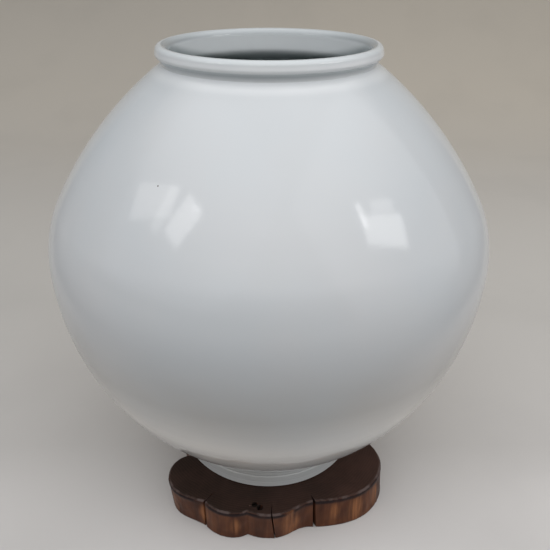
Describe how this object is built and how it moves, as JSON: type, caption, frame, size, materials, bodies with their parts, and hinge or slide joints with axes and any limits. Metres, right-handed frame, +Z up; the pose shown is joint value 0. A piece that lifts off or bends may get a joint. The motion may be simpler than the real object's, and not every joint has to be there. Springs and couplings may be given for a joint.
{
  "type": "korean moon jar",
  "caption": "Full round white porcelain jar with a rolled mouth and a turned foot, standing loose on a lobed live-edge wooden slab.",
  "frame": {"origin": "on the floor, at the middle of the slab's underside, straight under the jar's axis", "axes": "+Z up along the jar's axis, out of its mouth; -Y is the side that the picture shows"},
  "size_m": [0.418, 0.418, 0.468],
  "materials": {
    "white_glaze": "glossy bluish-white glaze",
    "dark_wood": "oiled dark brown wood, lighter on its sides"
  },
  "bodies": {
    "stand": {"wooden_slab": "dark_wood"},
    "jar": {"foot_ring": "white_glaze", "lower_bowl": "white_glaze", "belly_seam": "white_glaze", "upper_bowl": "white_glaze", "mouth_rim": "white_glaze"}
  },
  "joints": [
    {"name": "jar_lift", "type": "slide", "parent": "stand", "child": "jar", "axis": [0, 0, 1], "range_m": [0, 0.25]}
  ]
}
